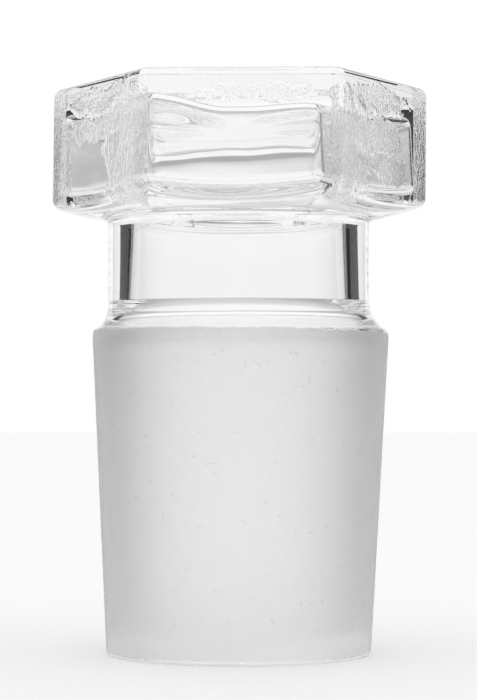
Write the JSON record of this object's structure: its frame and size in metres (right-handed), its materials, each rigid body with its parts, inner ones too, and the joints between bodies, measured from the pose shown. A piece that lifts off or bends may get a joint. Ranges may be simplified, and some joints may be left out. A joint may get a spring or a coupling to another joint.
{
  "type": "glass stopper",
  "caption": "Hollow clear glass stopper with a hexagonal head, a plain neck and a frosted conical taper for a ground joint.",
  "frame": {"origin": "centre of the flat base face at the small end of the ground taper, which the stopper stands on", "axes": "+Z along the axis from the small end up to the head, and one flat of the hexagonal head faces -Y"},
  "size_m": [0.037, 0.0324, 0.0558],
  "materials": {
    "clear_glass": "clear mould-blown glass with a fine-ground, frosted taper"
  },
  "bodies": {
    "root": {"stopper": "clear_glass"}
  },
  "joints": []
}
